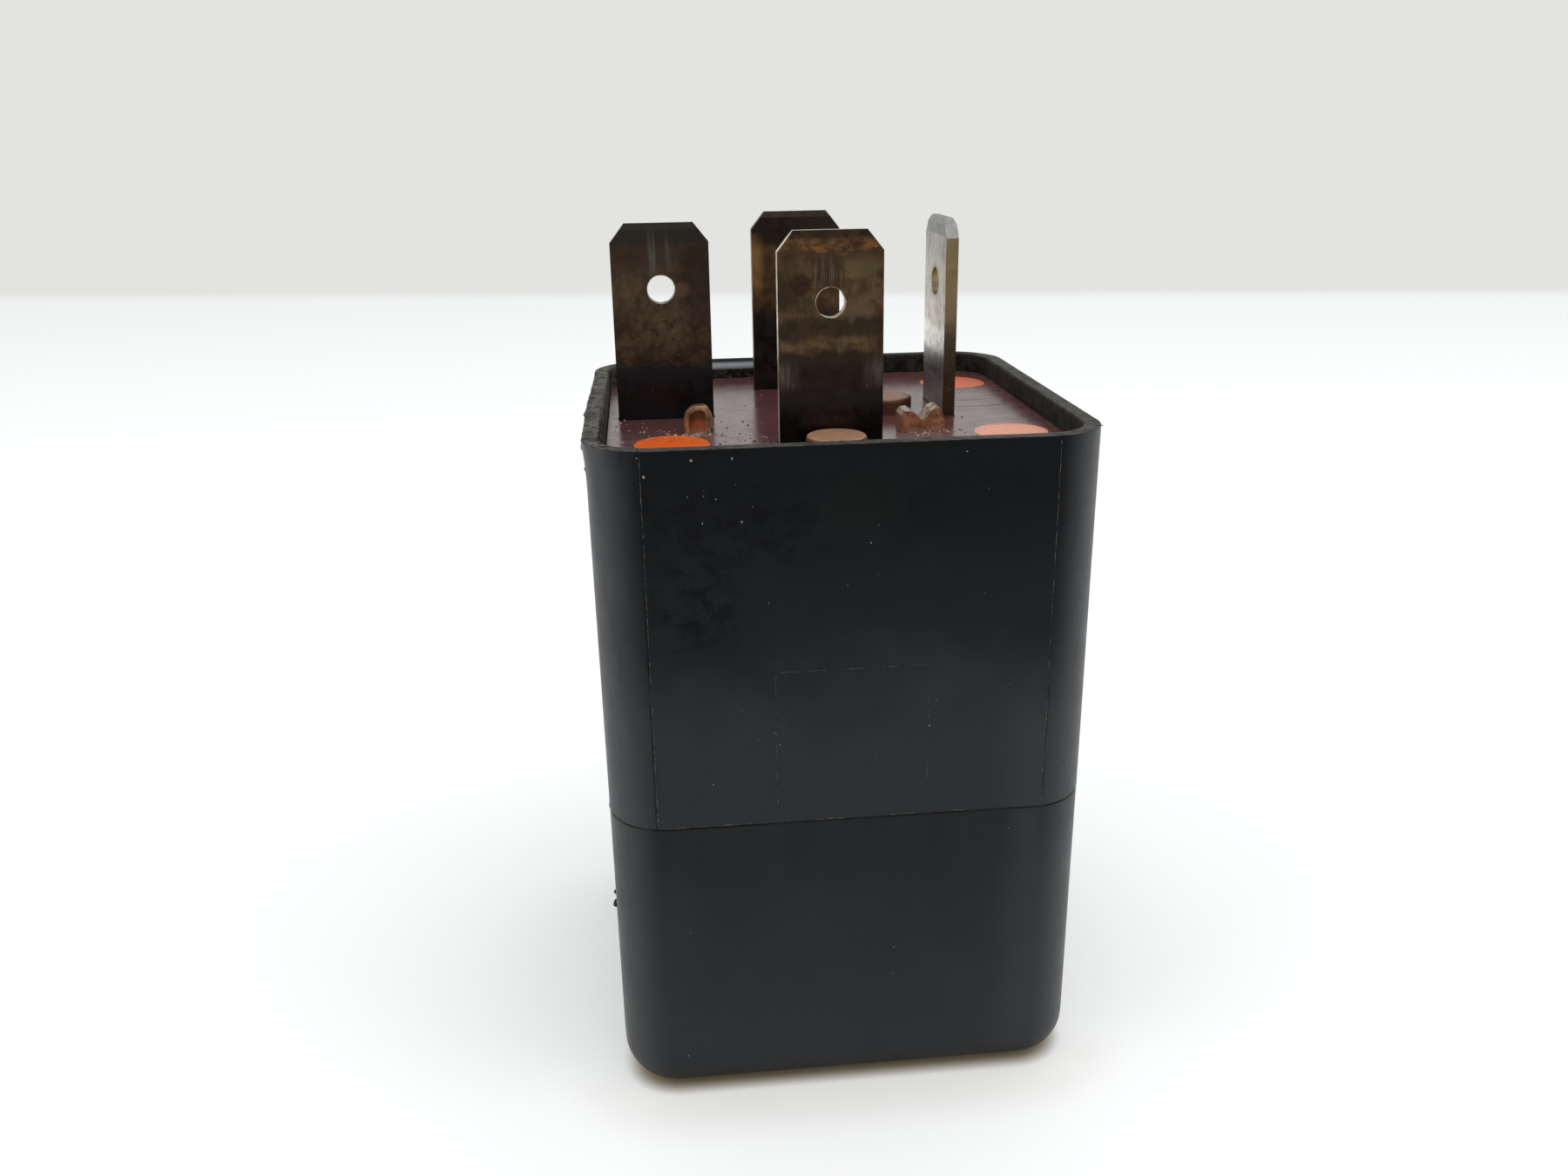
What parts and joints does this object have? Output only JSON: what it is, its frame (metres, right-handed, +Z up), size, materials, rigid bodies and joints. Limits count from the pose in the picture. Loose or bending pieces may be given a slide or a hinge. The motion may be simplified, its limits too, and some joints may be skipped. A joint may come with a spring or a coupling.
{
  "type": "automotive relay",
  "caption": "Plug-in automotive relay: a black moulded cover with blade terminals standing from a recessed maroon base board, and a hinged armature that closes a contact inside.",
  "frame": {"origin": "centre of the cover's closed end, at the bottom of the part", "axes": "+Z up towards the blade tips, -Y towards the front blade, +X towards the blade that is turned square to the others"},
  "size_m": [0.0306, 0.0304, 0.0551],
  "materials": {
    "cover_black": "satin",
    "board_maroon": "semi-gloss",
    "former_orange": "satin",
    "enamelled_copper": "glossy enamel",
    "soft_iron": "plain",
    "yoke_copper_flash": "copper flashed",
    "blade_bronze": "tarnished",
    "blade_bronze_dark": "tarnished",
    "blade_tinned": "worn tin plate",
    "rivet_copper": "dull",
    "contact_silver": "satin",
    "spring_bronze": "satin",
    "arm_rivet_brass": "satin",
    "spring_steel": "satin",
    "braid_copper": "woven"
  },
  "bodies": {
    "body": {"cover": "cover_black", "base_board": "board_maroon", "coil_former": "former_orange", "winding": "enamelled_copper", "core": "soft_iron", "yoke": "yoke_copper_flash", "terminal_front": "blade_bronze", "terminal_left": "blade_bronze_dark", "terminal_back": "blade_bronze_dark", "terminal_right": "blade_tinned", "rivet_front": "rivet_copper", "rivet_right": "rivet_copper", "fixed_contact": "contact_silver", "lead_left": "enamelled_copper", "lead_back": "enamelled_copper", "return_spring": "spring_steel", "braid": "braid_copper"},
    "armature": {"armature": "soft_iron", "contact_arm": "spring_bronze", "moving_contact": "contact_silver", "arm_rivet_left": "arm_rivet_brass", "arm_rivet_right": "arm_rivet_brass"}
  },
  "joints": [
    {"name": "armature_hinge", "type": "hinge", "parent": "body", "child": "armature", "pos_m": [-0.00055, -0.0069, 0.00845], "axis": [1, 0, 0], "range_deg": [0, 3.5], "stiffness_Nm_per_rad": 0.02, "springref_deg": -5.73, "deforming": ["return_spring", "braid"]}
  ]
}
